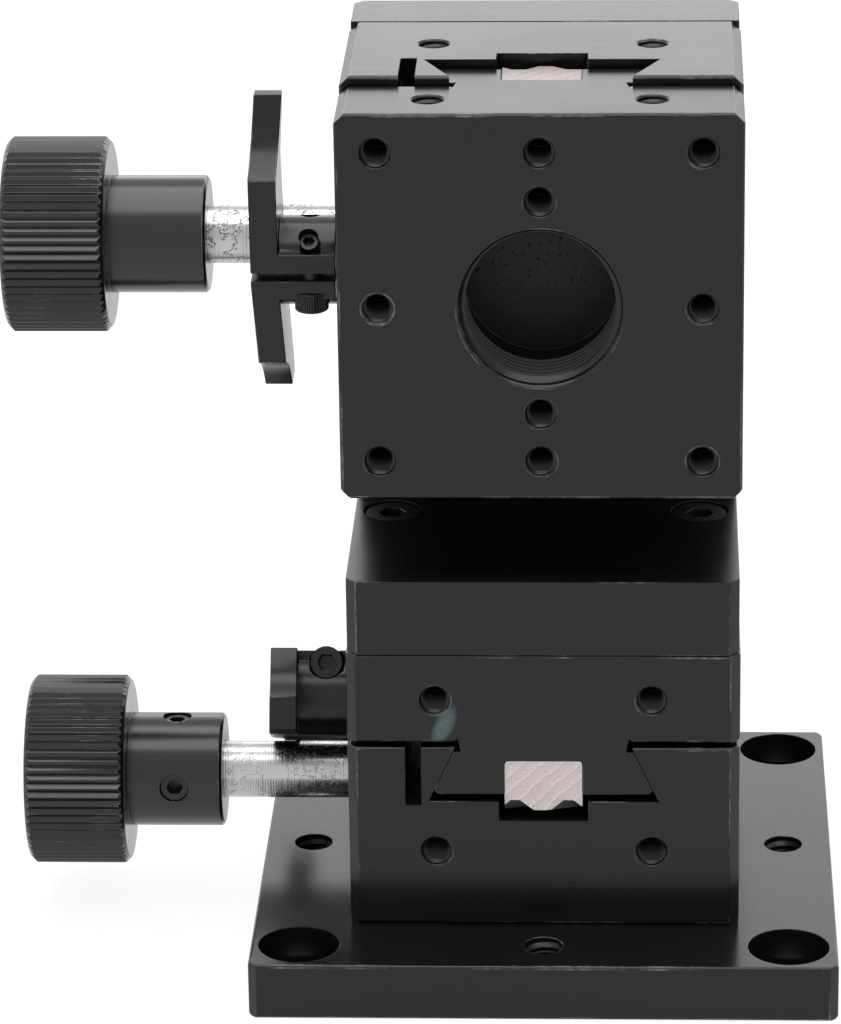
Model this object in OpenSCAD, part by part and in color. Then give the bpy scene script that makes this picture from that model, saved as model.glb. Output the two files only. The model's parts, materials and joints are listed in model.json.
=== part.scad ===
// Two-axis rack and pinion dovetail stage on a square base plate.
// X runs across the stage, Y away from the user, Z up; the origin is the bottom centre of the base plate.

/* [Base plate] */
// Margin of the base plate round the stage
base_margin = 10; // [9.6:0.2:20]
// Thickness of the base plate
base_t = 6; // [5.6:0.2:12]
// Chamfer on the upright corners of the base plate
base_corner = 0.9; // [0.3:0.1:3]
// Distance of the mounting holes from the edges of the plate
base_hole_inset = 5; // [4.4:0.1:5.2]
// Clearance hole of the mounting screws
base_hole_d = 4.5; // [4.2:0.1:5]
// Counterbore of the mounting screws
base_bore_d = 8.3; // [7.2:0.1:8.6]
// Depth of the counterbores
base_bore_depth = 4.2; // [2:0.1:4.6]
// Nominal thread of the tapped holes midway along each side
base_tap_d = 4; // [3:0.5:5]

/* [Stage] */
// Width and length of each stage
stage_w = 40; // [39:0.5:60]
// Height of the fixed dovetail body
body_h = 19.8; // [19.4:0.1:24]
// Thickness of the slider plate
slider_t = 9.65; // [9.2:0.05:16]
// Gap between the body and the slider plate
stage_gap = 0.55; // [0.2:0.05:1.2]
// Chamfer on the corners of the stage blocks
corner_c = 1; // [0.4:0.1:2]
// Chamfer on the long edges of the stage blocks
edge_c = 0.25; // [0.1:0.05:0.5]
// Full travel of each slider
travel = 20; // [10:1:22]
// Place of the upper slider at rest, measured from the middle of its travel
upper_rest = -0.8; // [-4:0.2:4]

/* [Dovetail] */
// Width of the dovetail channel at its mouth
mouth_w = 18; // [17:0.1:18.6]
// Width of the dovetail channel at its floor
floor_w = 23.5; // [22:0.1:24.2]
// Depth of the dovetail channel
dove_depth = 5.95; // [5.6:0.05:6.3]
// Gap between the slider's dovetail and the channel floor
dove_lift = 0.8; // [0.4:0.1:1.2]
// Side play of the dovetail on each flank
flank_gap = 0.03; // [0.02:0.01:0.08]
// Width of the slit behind the clamping jaw
slit_w = 1.6; // [1:0.1:2.4]
// Thickness of the jaw at the channel floor
jaw_neck = 0.75; // [0.5:0.05:1.5]
// Depth of the slit below the channel floor
slit_under = 0.45; // [0.2:0.05:1]

/* [Rack and pinion] */
// Module of the teeth, across the travel
tooth_m = 0.5; // [0.4:0.02:0.56]
// Number of teeth on the pinion
pinion_z = 19; // [17:1:20]
// Pressure angle of the teeth
pressure_a = 20; // [18:0.5:22.5]
// Helix angle of the teeth
helix_a = 16; // [8:1:22]
// Play left in the mesh, half of it cut from each side
backlash = 0.12; // [0.08:0.02:0.3]
// Height of the pinion axis above the back of the stage
pinion_n = 8.5; // [8.3:0.05:8.6]
// Width of the rack
rack_w = 8; // [6:0.1:9]
// Height of the rack from its back to the tips of its teeth
rack_h = 5.55; // [5:0.05:5.8]
// Set-back of the rack from each end of the slider
rack_setback = 0.25; // [0.1:0.05:1]
// Clearance under the tips of the rack
rack_clear = 1.05; // [0.8:0.05:1.3]
// Clearance beside the rack in its groove
rack_side = 0.55; // [0.5:0.05:0.8]

/* [Pinion shaft and knob] */
// Diameter of the pinion shaft
shaft_d = 6; // [5:0.1:6.4]
// Bare length of shaft between the stage and the knob
shaft_show = 14.2; // [12:0.1:30]
// Diameter of the knob over its knurl
knob_d = 20; // [15:0.5:20.6]
// Length of the knurled grip
knob_len = 10.5; // [6:0.5:20]
// Number of knurls
knurl_n = 66; // [40:2:72]
// Depth of the knurls
knurl_depth = 0.36; // [0.2:0.02:0.5]
// Diameter of the knob's hub
hub_d = 12; // [10.5:0.5:13]
// Length of the knob's hub
hub_len = 10; // [6:0.5:16]
// Offset between the outside and the bore of each bush
bush_ecc = 0.5; // [0.4:0.05:0.6]

/* [Lock lever] */
// Height of the lock screw above the back of the stage
lock_n = 16.75; // [16.6:0.05:16.9]
// Nominal thread of the lock screw
lock_d = 4; // [3:0.5:4.5]
// Diameter of the lever's hub
lever_hub_d = 9; // [8.4:0.1:9.2]
// Length of the lever's hub
lever_hub_len = 5.7; // [4.4:0.1:8]
// Thickness of the lever
lever_t = 2.8; // [2:0.1:4]
// Reach of the lever's long arm
lever_long = 17.5; // [15:0.5:22]
// Reach of the lever's short arm
lever_short = 13.9; // [12:0.1:16]
// Height of the lever's flat front above the axis
lever_front = 4.9; // [4.8:0.05:5.4]
// Depth of the lever's back below the axis
lever_back = 4.2; // [3.8:0.05:4.2]
// Sideways crank of the arm tips towards the stage
lever_crank = 0.8; // [0:0.1:1]
// Width of the clamping slit in the lever
lever_slit = 0.85; // [0.5:0.05:1.2]
// Distance of the clamp screw from the lever's axis
clamp_off = 3.6; // [3.4:0.05:3.8]
// Turn of the lower lever at rest
lower_lever_a = 25; // [-20:1:25]
// Turn of the upper lever at rest
upper_lever_a = -4; // [-20:1:20]

/* [Angle bracket] */
// Thickness of the bracket's foot
foot_t = 8; // [6:0.5:12]
// Thickness of the bracket's wall
wall_t = 8; // [6:0.5:12]
// Room between the foot and the upper body
under_gap = 10.2; // [10:0.2:20]
// Place of the wall's front face behind the stage axis
wall_y = 8.7; // [6:0.1:9]
// Difference in width between the stage and the bracket, each side
bracket_inset = 0.15; // [0:0.05:1]

/* [Tapped holes and screws] */
// Nominal thread of the small tapped holes and their screws
m3_d = 3; // [2.5:0.1:3.2]
// Head diameter of those screws
m3_head_d = 5.5; // [5:0.1:5.8]
// Head height of those screws
m3_head_h = 3; // [2.2:0.1:3.2]
// Nominal thread of the smallest screws
m2_d = 2; // [1.6:0.1:2.2]
// Head diameter of the smallest screws
m2_head_d = 3.4; // [3:0.1:3.6]
// Head height of the smallest screws
m2_head_h = 2; // [1.5:0.1:2.2]
// Distance of the face holes and of the stage's screws from the sides of the stage
face_pitch = 4; // [3:0.1:4.4]
// Distance of the inner face holes from the middle
face_inner = 11; // [10.8:0.1:11.6]
// Depth of the face holes
face_depth = 7; // [4:0.5:7.5]
// Half the spacing of the end holes
end_half = 11; // [10.6:0.1:11.4]
// Depth of the end holes
end_depth = 6; // [4:0.5:8]
// Height of the end holes above the back of the body
body_end_n = 8.2; // [7:0.1:9]
// Depth of the end holes below the slider face
slider_end_drop = 5; // [4.6:0.1:5.2]
// Nominal thread of the large bore in the upper slider
socket_d = 16; // [12:0.5:17]
// Depth of the large bore
socket_depth = 10.8; // [6:0.1:11]

/* [Hidden] */
$fn = 64;

anodised = [0.2, 0.2, 0.21];
steel = [0.78, 0.78, 0.8];
dark_steel = [0.3, 0.3, 0.32];
bronze = [0.72, 0.55, 0.3];
rack_steel = [0.7, 0.66, 0.66];

// Overrun shared by every cut, and the gap of every fixed fit
over = 1;
fit_gap = 0.02;
run_gap = 0.03;

// Heights in a stage, from its back face
stage_h = body_h + stage_gap + slider_t;
slider_n = body_h + stage_gap;
floor_n = body_h - dove_depth;
male_n = floor_n + dove_lift;
pitch_r = tooth_m * pinion_z / 2;
tip_r = pitch_r + tooth_m;
root_share = 1.25;
root_r = pitch_r - root_share * tooth_m;
rack_tip_n = pinion_n + pitch_r - tooth_m;
rack_back_n = rack_tip_n + rack_h;
groove_w = rack_w + 2 * rack_side;
groove_n = rack_tip_n - rack_clear;
tooth_p = PI * tooth_m;
rack_len = stage_w - 2 * rack_setback;
face_at = stage_w / 2 - face_pitch;

// Slope of the dovetail flank, as width gained on one side for each unit of depth
flank_slope = (floor_w - mouth_w) / 2 / dove_depth;
slit_x = floor_w / 2 + jaw_neck;
male_c = 0.4;
relief_in = 0.3;
relief_out = 0.5;
relief_up = 0.45;

// Pinion bearings
bore_n = pinion_n - bush_ecc;
tip_gap = 0.2;
far_r = tip_r + tip_gap;
bush_wall = 1.2;
knob_bush_r = shaft_d / 2 + bush_wall;
far_recess = 2.5;
bush_end_gap = 0.05;
well_half = tip_r + tip_gap + run_gap;
washer_t = 0.4;
washer_gap = 0.05;
washer_wall = 1;
pinion_w = groove_w - 2 * (washer_t + 2 * washer_gap);
shaft_chamfer = 0.4;
shaft_far_x = stage_w / 2 - shaft_chamfer;
bush_screw_x = (stage_w / 2 + groove_w / 2) / 2;

// Stop pin
stop_d = 2;
stop_x = (groove_w / 2 + mouth_w / 2) / 2;
stop_wall = 1.05;
stop_y = far_r + stop_wall + stop_d / 2;
stop_rise = 2.2;
stop_sink = 3;
stop_gap = 0.15;

// Knob
knob_in_x = -stage_w / 2 - shaft_show;
knob_out_x = knob_in_x - hub_len - knob_len;
knob_chamfer = 0.6;
knob_bore_len = hub_len + knob_len / 2;
knob_dish = 0.5;
knob_rim = 1.6;
lower_knob_a = -177;
upper_knob_a = 90;
knob_screw_sink = 0.4;
hub_c = 0.3;
knob_r = knob_d / 2;

// Lever
lever_gap = 0.6;
hub_out_x = -stage_w / 2 - lever_gap - lever_hub_len;
lever_out_x = hub_out_x - lever_t;
flat_long_share = 0.594;
flat_short_share = 0.669;
crank_start_share = 0.07;
tip_rise = 0.3;
long_tip_t = 1.5;
short_tip_round = 0.6;
taper_start = 6;
scoop_r = 9;
ear_half = 2.4;
clamp_seat = 1.8;
clamp_len = 3.4;
set_angles = [-52, -105];
set_sink = 0.9;
lock_tip_gap = 0.05;
lock_hex_depth_share = 0.8;
clamp_share = 0.44;
set_share = 0.48;
flat_long = lever_long * flat_long_share;
flat_short = lever_short * flat_short_share;
clamp_x = -stage_w / 2 - lever_gap - lever_hub_len * clamp_share;
set_x = -stage_w / 2 - lever_gap - lever_hub_len * set_share;

// Rack screws
rack_screw_inset = 3.75;
rack_head_cover = 0.25;
rack_screw_y = rack_len / 2 - rack_screw_inset;
rack_screw_n = rack_tip_n + (1 + root_share) * tooth_m + rack_head_cover + m2_head_h;
rack_screw_len = 5;

// Screw details
hex_sides = 6;
cap_hex_share = 0.8;
set_hex_share = 0.5;
hex_depth_share = 0.55;
clear_gap = 0.2;
mouth_c = 0.18;
body_screw_len = 5;
tap_spare = 1;
socket_c = 0.3;

// Bracket
foot_n = base_t + stage_h;
foot_top = foot_n + foot_t;
upper_mid_z = foot_top + under_gap + stage_w / 2;
bracket_top = upper_mid_z + stage_w / 2;
bracket_w = stage_w - 2 * bracket_inset;
bracket_c = 1;
foot_seat = foot_top - m3_head_h - clear_gap;
wall_seat = wall_y + wall_t - m3_head_h - clear_gap;
foot_screw_grip = face_depth - tap_spare;

base_side = stage_w + 2 * base_margin;
base_hole = base_side / 2 - base_hole_inset;
base_edge = 0.25;
base_seat = m3_head_h + clear_gap;

// Puts a stage part on the base plate
module at_lower() translate([0, 0, base_t]) children();

// Turns a stage part upright against the bracket's wall, its travel along Z
module at_upper() translate([0, wall_y, upper_mid_z]) rotate([90, 0, 0]) children();

// Cylinder along X between two places
module x_rod(x0, x1, r) translate([x0, 0, 0]) rotate([0, 90, 0]) cylinder(h = x1 - x0, r = r);

// Bar along Y with a profile drawn across X and Z
module y_bar(len) rotate([90, 0, 0]) linear_extrude(len, center = true) children();

// Square bar along Y, turned on edge, that cuts a chamfer of width c along its middle
module edge_bar(len, c) rotate([0, 45, 0]) cube([c * sqrt(2), len, c * sqrt(2)], center = true);

// Hexagonal socket standing on the origin, measured across its flats
module hex_socket(flats, depth) cylinder(h = depth, d = flats / cos(180 / hex_sides), $fn = hex_sides);

// Block with chamfered corners and chamfered top and bottom edges, standing on its bottom face
module block(w, l, h, corner, edge) difference() {
    linear_extrude(h) polygon([
        [corner - w / 2, -l / 2], [w / 2 - corner, -l / 2], [w / 2, corner - l / 2], [w / 2, l / 2 - corner],
        [w / 2 - corner, l / 2], [corner - w / 2, l / 2], [-w / 2, l / 2 - corner], [-w / 2, corner - l / 2]
    ]);
    for (z = [0, h], side = [-1, 1]) {
        translate([side * w / 2, 0, z]) edge_bar(l + over, edge);
        translate([0, side * l / 2, z]) rotate([0, 0, 90]) edge_bar(w + over, edge);
    }
}

// Tapped hole going down from the origin, with a chamfered mouth
module tapped(d, depth) {
    translate([0, 0, -depth]) cylinder(h = depth + over, d = d);
    translate([0, 0, -mouth_c]) cylinder(h = mouth_c + over, r1 = d / 2, r2 = d / 2 + mouth_c + over);
}

// Socket head cap screw with the underside of its head at the origin, shank down
module cap_screw(d, len, head_d, head_h) difference() {
    union() {
        cylinder(h = head_h, d = head_d);
        translate([0, 0, -len]) cylinder(h = len, r = d / 2 - fit_gap);
    }
    translate([0, 0, head_h * (1 - hex_depth_share)]) hex_socket(cap_hex_share * d, head_h);
}

// Counterbored hole for a cap screw whose head seats at the origin
module screw_hole(d, len, head_d, head_room) {
    translate([0, 0, -len]) cylinder(h = len + over, d = d + 2 * clear_gap);
    cylinder(h = head_room, d = head_d + 2 * clear_gap);
}

// Set screw reaching down from the origin
module set_screw(d, len) difference() {
    translate([0, 0, -len]) cylinder(h = len, r = d / 2 - fit_gap);
    translate([0, 0, -len * hex_depth_share]) hex_socket(set_hex_share * d, len);
}

// Places the four corner screws of a stage
module at_corners() for (x = [-1, 1], y = [-1, 1]) translate([x * face_at, y * face_at, 0]) children();

// Tapped pairs in the ends of a stage block, at a height above the back of the stage
module end_holes(n, sides) for (x = [-end_half, end_half], side = sides)
    translate([x, side * stage_w / 2, n]) rotate([-side * 90, 0, 0]) tapped(m3_d, end_depth);

// Fixed half of a stage: dovetail channel, rack groove, pinion bore, clamping jaw and tapped holes
module stage_body() difference() {
    block(stage_w, stage_w, body_h, corner_c, edge_c);
    y_bar(stage_w + over) polygon([
        [-floor_w / 2, floor_n], [floor_w / 2, floor_n], [mouth_w / 2, body_h], [mouth_w / 2, body_h + over],
        [-mouth_w / 2, body_h + over], [-mouth_w / 2, body_h]
    ]);
    translate([0, 0, groove_n + body_h / 2]) cube([groove_w, stage_w + over, body_h], center = true);
    translate([0, 0, bore_n + body_h / 2]) cube([groove_w, 2 * well_half, body_h], center = true);
    translate([-slit_x - slit_w, -stage_w / 2 - over, floor_n - slit_under])
        cube([slit_w, stage_w + 2 * over, body_h]);
    translate([0, 0, bore_n]) x_rod(-groove_w / 2, stage_w / 2 + over, far_r);
    translate([0, 0, bore_n]) x_rod(-stage_w / 2 - over, 0, knob_bush_r);
    translate([0, 0, lock_n]) x_rod(-stage_w / 2 - over, -slit_x, lock_d / 2);
    at_corners() mirror([0, 0, 1]) tapped(m3_d, body_screw_len + tap_spare);
    for (x = [-bush_screw_x, bush_screw_x]) translate([x, 0, -over]) cylinder(h = bore_n, d = m3_d);
    end_holes(body_end_n, [-1, 1]);
    translate([stop_x, stop_y, floor_n - stop_sink]) cylinder(h = stop_sink + over, d = stop_d);
}

// Moving half of a stage: plate, male dovetail, rack seat, stop slot and tapped holes, with one end tapped
module stage_slider(centre_hole, tapped_end) difference() {
    union() {
        translate([0, 0, slider_n]) block(stage_w, stage_w, slider_t, corner_c, edge_c);
        y_bar(stage_w) male_dovetail();
    }
    translate([0, 0, rack_back_n - body_h / 2])
        cube([rack_w + 2 * fit_gap, stage_w + over, body_h], center = true);
    translate([stop_x, stop_y, male_n])
        cube([stop_d + 2 * stop_gap, travel + stop_d + 2 * stop_gap, 2 * stop_rise], center = true);
    for (side = [-1, 1]) y_bar(stage_w + over) polygon([
        [side * (male_half(slider_n) - relief_in), slider_n - over],
        [side * (male_half(slider_n) + relief_out), slider_n - over],
        [side * (male_half(slider_n) + relief_out), slider_n],
        [side * male_half(slider_n), slider_n + relief_up]
    ]);
    for (side = [-1, 1]) translate([0, side * rack_screw_y, rack_back_n - over])
        cylinder(h = over + rack_screw_len - (rack_back_n - rack_screw_n) + tap_spare / 2, d = m2_d);
    translate([0, 0, stage_h]) {
        at_corners() tapped(m3_d, face_depth);
        for (a = [0 : 90 : 270]) rotate([0, 0, a]) translate([face_at, 0, 0]) tapped(m3_d, face_depth);
        for (side = [-1, 1]) translate([0, side * face_inner, 0]) tapped(m3_d, face_depth);
        if (centre_hole) large_bore();
    }
    end_holes(stage_h - slider_end_drop, [tapped_end]);
}

// Half width of the male dovetail at a height
function male_half(n) = mouth_w / 2 - flank_gap + (body_h - n) * flank_slope;

// Section of the male dovetail, reaching into the plate above it
module male_dovetail() {
    top = male_half(slider_n);
    foot = male_half(male_n + male_c);
    polygon([
        [-top, slider_n + over], [-top, slider_n], [-foot, male_n + male_c], [male_c - foot, male_n],
        [foot - male_c, male_n], [foot, male_n + male_c], [top, slider_n], [top, slider_n + over]
    ]);
}

// Large threaded socket in the face of the upper slider
module large_bore() {
    translate([0, 0, -socket_depth]) cylinder(h = socket_depth + over, d = socket_d, $fn = 128);
    translate([0, 0, -socket_c])
        cylinder(h = socket_c + over, r1 = socket_d / 2, r2 = socket_d / 2 + socket_c + over, $fn = 128);
}

// Bar along X with the section of one gap between two teeth
module rack_cutter() rotate([90, 0, 90]) linear_extrude(2 * rack_w, center = true) polygon(rack_gap);

// Helical rack, its teeth facing the back of the stage and a gap over the middle
module stage_rack() difference() {
    translate([-rack_w / 2, -rack_len / 2, rack_tip_n]) cube([rack_w, rack_len, rack_h]);
    for (k = [-rack_gaps : rack_gaps]) translate([0, k * tooth_p, rack_tip_n + tooth_m])
        rotate([0, 0, helix_a]) rack_cutter();
    for (side = [-1, 1]) translate([0, side * rack_screw_y, rack_screw_n]) mirror([0, 0, 1])
        screw_hole(m2_d, rack_h, m2_head_d, rack_h);
}
rack_gaps = ceil((rack_len / 2 + rack_w * tan(helix_a)) / tooth_p);
gap_half = cos(helix_a) * (tooth_p + backlash) / 4;
gap_slope = cos(helix_a) * tan(pressure_a);
rack_gap = [
    [-gap_half - gap_slope * (tooth_m + over), -tooth_m - over],
    [gap_half + gap_slope * (tooth_m + over), -tooth_m - over],
    [gap_half - gap_slope * root_share * tooth_m, root_share * tooth_m],
    [gap_slope * root_share * tooth_m - gap_half, root_share * tooth_m]
];

// Involute helical pinion on the shaft axis; turn is how far it has rolled with its rack
base_r = pitch_r * cos(pressure_a);
flank_steps = 5;
pinion_slices = 6;
pinion_twist = pinion_w * tan(helix_a) / pitch_r * 180 / PI;
function involute(a) = tan(a) * 180 / PI - a;
pitch_half = (tooth_p - backlash) / 4 / pitch_r * 180 / PI;
function flank_half(r) = pitch_half + involute(pressure_a) - involute(acos(min(1, base_r / r)));
flank_radii = [for (i = [0 : flank_steps]) base_r + (tip_r - base_r) * i / flank_steps];
function polar(r, a) = r * [cos(a), sin(a)];
function tooth_outline(a) = concat(
    [polar(root_r, a - flank_half(base_r))],
    [for (i = [0 : flank_steps]) polar(flank_radii[i], a - flank_half(flank_radii[i]))],
    [for (i = [flank_steps : -1 : 0]) polar(flank_radii[i], a + flank_half(flank_radii[i]))],
    [polar(root_r, a + flank_half(base_r))]
);

module stage_pinion(shift) translate([0, 0, pinion_n]) rotate([0, 90, 0]) difference() {
    rotate([0, 0, 180 + pinion_twist / 2 - shift / pitch_r * 180 / PI])
        linear_extrude(pinion_w, center = true, twist = pinion_twist, slices = pinion_slices)
        polygon([for (k = [0 : pinion_z - 1], p = tooth_outline(k * 360 / pinion_z)) p]);
    cylinder(h = pinion_w + over, r = shaft_d / 2 + fit_gap, center = true);
}

// Plain shaft through both bushes and into the knob
module stage_shaft() translate([0, 0, pinion_n]) {
    x_rod(knob_in_x - knob_bore_len + shaft_chamfer, shaft_far_x - shaft_chamfer, shaft_d / 2);
    translate([shaft_far_x - shaft_chamfer, 0, 0]) rotate([0, 90, 0])
        cylinder(h = shaft_chamfer, r1 = shaft_d / 2, r2 = shaft_d / 2 - shaft_chamfer);
    translate([knob_in_x - knob_bore_len, 0, 0]) rotate([0, 90, 0])
        cylinder(h = shaft_chamfer, r1 = shaft_d / 2 - shaft_chamfer, r2 = shaft_d / 2);
}

// Eccentric bush between two places on the shaft, its outside on the body's bore
module bush(x0, x1, r) difference() {
    translate([0, 0, bore_n]) x_rod(x0, x1, r - fit_gap);
    translate([0, 0, pinion_n]) x_rod(x0 - over, x1 + over, shaft_d / 2 + run_gap);
}
module stage_knob_bush() bush(-stage_w / 2, -groove_w / 2, knob_bush_r);
module stage_far_bush() bush(groove_w / 2 + bush_end_gap, stage_w / 2 - far_recess, far_r);

// Set screws that hold the bushes from the back of the body
module stage_bush_screws() {
    translate([bush_screw_x, 0, 0]) mirror([0, 0, 1]) set_screw(m3_d, bore_n - far_r);
    translate([-bush_screw_x, 0, 0]) mirror([0, 0, 1]) set_screw(m3_d, bore_n - knob_bush_r);
}

// Thin washers on each side of the pinion
module stage_washers() for (side = [-1, 1])
    translate([side * (pinion_w / 2 + washer_gap + washer_t / 2), 0, pinion_n])
    rotate([0, 90, 0]) difference() {
        cylinder(h = washer_t, r = shaft_d / 2 + washer_wall, center = true);
        cylinder(h = washer_t + over, r = shaft_d / 2 + fit_gap, center = true);
    }

// Pin in the channel floor, past the far bush, that stops the slider at each end of its travel
module stage_stop_pin() translate([stop_x, stop_y, floor_n - stop_sink])
    cylinder(h = stop_sink + dove_lift + stop_rise - stop_gap, r = stop_d / 2 - fit_gap);

// Cap screws that hold the rack to the slider
module stage_rack_screws() for (side = [-1, 1]) translate([0, side * rack_screw_y, rack_screw_n])
    mirror([0, 0, 1]) cap_screw(m2_d, rack_screw_len, m2_head_d, m2_head_h);

// Puts a knob part on the shaft, its length along Z from the outer end; turn sets where the set screws point
module at_knob(turn) translate([knob_out_x, 0, pinion_n]) rotate([-turn, 0, 0]) rotate([0, 90, 0]) children();

// Places the two set screws of the hub, pointing out along Z
module at_knob_screws() for (a = [0, 90])
    translate([0, 0, knob_len + hub_len / 2]) rotate([0, 0, a]) rotate([0, 90, 0]) children();

// Turning profile of the grip: dished end, flat rim and chamfers that run out past the knurl
module knob_profile() polygon([
    [0, knob_dish], [knob_r - knob_rim - knob_dish, knob_dish], [knob_r - knob_rim, 0],
    [knob_r - knob_chamfer, 0], [knob_r + over, knob_chamfer + over],
    [knob_r + over, knob_len - knob_chamfer - over],
    [knob_r - knob_chamfer, knob_len], [0, knob_len]
]);

// Knurled grip with a smooth hub
knurl_outline = [for (i = [0 : 2 * knurl_n - 1]) polar(knob_r - (i % 2) * knurl_depth, 180 * i / knurl_n)];
module stage_knob(turn) at_knob(turn) difference() {
    union() {
        intersection() {
            linear_extrude(knob_len) polygon(knurl_outline);
            rotate_extrude($fn = 96) knob_profile();
        }
        translate([0, 0, knob_len / 2]) cylinder(h = hub_len + knob_len / 2 - hub_c, d = hub_d);
        translate([0, 0, knob_len + hub_len - hub_c])
            cylinder(h = hub_c, r1 = hub_d / 2, r2 = hub_d / 2 - hub_c);
    }
    translate([0, 0, knob_len + hub_len - knob_bore_len])
        cylinder(h = knob_bore_len + over, r = shaft_d / 2 + fit_gap);
    at_knob_screws() cylinder(h = hub_d, d = m3_d);
}

// Set screws that hold the knob on its shaft
module stage_knob_screws(turn) at_knob(turn) at_knob_screws() translate([0, 0, hub_d / 2 - knob_screw_sink])
    set_screw(m3_d, hub_d / 2 - knob_screw_sink - shaft_d / 2);

// Turns a lock part about the lock screw; the slit points along the stage normal at zero
module at_lock(turn) translate([0, 0, lock_n]) rotate([-turn, 0, 0]) children();

// Centre of the circle through two points that bulges to the left of the way from the first to the second
function arc_centre(p, q, r) =
    let (d = q - p, l = norm(d)) (p + q) / 2 + sqrt(r * r - l * l / 4) / l * [-d[1], d[0]];

// Outline of the lever seen along its axis
module lever_side() difference() {
    polygon([
        [-lever_short, -tip_rise], [-flat_short, lever_front], [flat_long, lever_front],
        [lever_long, -tip_rise], [lever_long, -tip_rise - long_tip_t], [taper_start, -lever_back],
        [short_tip_round - lever_short, -lever_back], [-lever_short, short_tip_round - lever_back]
    ]);
    translate(arc_centre([flat_long, lever_front], [lever_long, -tip_rise], scoop_r)) circle(scoop_r);
    translate(arc_centre([-lever_short, -tip_rise], [-flat_short, lever_front], scoop_r)) circle(scoop_r);
}

// Outline of the lever seen from its front, with the arms cranked towards the stage
module lever_plan() polygon([
    [lever_crank, -lever_short - over], [lever_crank * flat_short_share, -flat_short],
    [0, -lever_short * crank_start_share],
    [0, flat_long], [lever_crank * flat_short_share, lever_long + over],
    [lever_t + lever_crank * flat_short_share, lever_long + over], [lever_t, flat_long],
    [lever_t, -lever_short * crank_start_share], [lever_t + lever_crank * flat_short_share, -flat_short],
    [lever_t + lever_crank, -lever_short - over]
]);

// Two-armed lever with a round hub, split and clamped on the lock screw
module stage_lever(turn) at_lock(turn) difference() {
    union() {
        intersection() {
            translate([lever_out_x - over, 0, 0]) rotate([90, 0, 90])
                linear_extrude(lever_t + lever_crank + 2 * over) lever_side();
            translate([lever_out_x, 0, -lever_front - over])
                linear_extrude(2 * (lever_front + over)) lever_plan();
        }
        x_rod(lever_out_x + lever_t / 2, -stage_w / 2 - lever_gap, lever_hub_d / 2);
        translate([lever_out_x + lever_t / 2, -ear_half, 0])
            cube([lever_t / 2 + lever_hub_len, 2 * ear_half, lever_front]);
    }
    x_rod(lever_out_x - over, 0, lock_d / 2);
    translate([lever_out_x - over, -lever_slit / 2, 0])
        cube([lever_t + lever_hub_len + 2 * over, lever_slit, lever_front + over]);
    translate([clamp_x, 0, clamp_off]) rotate([90, 0, 0]) {
        translate([0, 0, clamp_seat]) cylinder(h = lever_hub_d, d = m2_head_d + clear_gap);
        translate([0, 0, -lever_hub_d]) cylinder(h = 2 * lever_hub_d, d = m2_d);
    }
    for (a = set_angles) rotate([a, 0, 0]) translate([set_x, 0, 0]) cylinder(h = lever_hub_d, d = m2_d);
}

// Small cap screw that closes the slit of the lever
module stage_clamp_screw(turn) at_lock(turn) translate([clamp_x, -clamp_seat, clamp_off]) rotate([90, 0, 0])
    cap_screw(m2_d, clamp_len, m2_head_d, m2_head_h);

// Set screws of the lever's hub
module stage_lever_set_screws(turn) at_lock(turn) for (a = set_angles) rotate([a, 0, 0])
    translate([set_x, 0, lever_hub_d / 2 - set_sink])
        set_screw(m2_d, lever_hub_d / 2 - set_sink - lock_d / 2);

// Lock screw through the lever and the side wall, its tip behind the jaw
module stage_lock_screw(turn) at_lock(turn) difference() {
    x_rod(lever_out_x + lever_crank / 2, -slit_x - lock_tip_gap, lock_d / 2 - fit_gap);
    translate([lever_out_x - over, 0, 0]) rotate([0, 90, 0])
        hex_socket(set_hex_share * lock_d, over + lever_t * lock_hex_depth_share);
}

// Square plate with counterbored corner holes and tapped holes midway along each side
module base_plate() color(anodised) difference() {
    block(base_side, base_side, base_t, base_corner, base_edge);
    for (x = [-1, 1], y = [-1, 1]) translate([x * base_hole, y * base_hole, 0]) {
        translate([0, 0, -over]) cylinder(h = base_t + 2 * over, d = base_hole_d);
        translate([0, 0, base_t - base_bore_depth]) cylinder(h = base_t, d = base_bore_d);
    }
    for (a = [0 : 90 : 270]) rotate([0, 0, a]) translate([base_hole, 0, -over])
        cylinder(h = base_t + 2 * over, d = base_tap_d);
    at_corners() translate([0, 0, base_seat]) mirror([0, 0, 1]) screw_hole(m3_d, base_t, m3_head_d, base_t);
}

// Screws up through the plate into the lower body
module base_screws() color(dark_steel) at_corners() translate([0, 0, base_seat]) mirror([0, 0, 1])
    cap_screw(m3_d, base_t - base_seat + body_screw_len, m3_head_d, m3_head_h);

// Angle that carries the upper stage on the lower slider
module angle_bracket() color(anodised) difference() {
    rotate([90, 0, 90]) linear_extrude(bracket_w, center = true) polygon([
        [-stage_w / 2, foot_n], [wall_y + wall_t, foot_n], [wall_y + wall_t, bracket_top],
        [wall_y, bracket_top], [wall_y, foot_top], [-stage_w / 2, foot_top]
    ]);
    for (x = [-1, 1], y = [-stage_w / 2, wall_y + wall_t]) translate([x * bracket_w / 2, y, foot_n])
        rotate([90, 0, 0]) edge_bar(2 * bracket_top, bracket_c);
    for (x = [-1, 1]) translate([x * face_at, 0, foot_seat]) screw_hole(m3_d, foot_t, m3_head_d, foot_t);
    translate([0, wall_seat, upper_mid_z]) rotate([-90, 0, 0]) at_corners()
        screw_hole(m3_d, wall_t, m3_head_d, wall_t);
}

// Screws down through the bracket's foot into the lower slider
module foot_screws() color(dark_steel) for (x = [-1, 1]) translate([x * face_at, 0, foot_seat])
    cap_screw(m3_d, foot_seat - foot_n + foot_screw_grip, m3_head_d, m3_head_h);

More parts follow.
